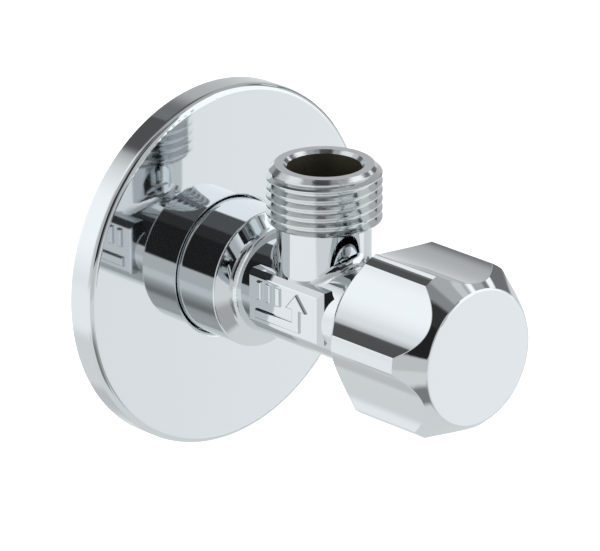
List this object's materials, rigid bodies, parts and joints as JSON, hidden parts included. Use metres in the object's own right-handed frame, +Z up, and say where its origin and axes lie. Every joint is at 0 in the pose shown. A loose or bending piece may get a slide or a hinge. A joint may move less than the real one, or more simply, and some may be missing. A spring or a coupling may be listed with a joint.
{
  "type": "angle stop valve",
  "caption": "Chromed angle stop valve with a round wall rosette, threaded inlet, upright threaded outlet and a faceted handle that screws a washer onto its seat.",
  "frame": {"origin": "where the inlet axis meets the wall plane that the rosette's rim stands on", "axes": "+Z up, along the outlet; +Y into the wall along the inlet axis; the handle is at -Y"},
  "size_m": [0.054, 0.0693, 0.054],
  "materials": {
    "chrome_plate": "polished chrome plate on brass, satin on the cut threads",
    "brass": "turned brass",
    "black_rubber": "moulded rubber",
    "white_nylon": "moulded nylon",
    "spring_steel": "stamped and coiled stainless steel",
    "red_fibre": "pressed fibre sheet"
  },
  "bodies": {
    "body": {"valve_body": "chrome_plate", "inlet_seal_ring": "white_nylon", "headwork_housing": "brass", "headwork_gasket": "red_fibre"},
    "rosette": {"wall_rosette": "chrome_plate", "rosette_clamp_ring": "white_nylon"},
    "handle": {"handle": "chrome_plate", "handle_insert": "white_nylon", "insert_spring_ring": "spring_steel", "spindle": "brass", "slip_washer": "white_nylon", "lower_spindle_ring": "black_rubber", "upper_spindle_ring": "black_rubber", "retaining_clip": "spring_steel"},
    "piston": {"closing_piston": "brass", "seat_washer": "black_rubber", "retainer_disc": "spring_steel", "washer_screw": "brass"}
  },
  "joints": [
    {"name": "handle_turn", "type": "hinge", "parent": "body", "child": "handle", "pos_m": [0, -0.045, 0], "axis": [0, -1, 0], "range_deg": [0, 1350]},
    {"name": "piston_slide", "type": "slide", "parent": "body", "child": "piston", "axis": [0, -1, 0], "range_m": [0, 0.0038]},
    {"name": "rosette_slide", "type": "slide", "parent": "body", "child": "rosette", "axis": [0, -1, 0], "range_m": [0, 0.007]}
  ],
  "couplings": [
    {"joint": "piston_slide", "follows": "handle_turn", "m_per_rad": 0.00015915}
  ]
}
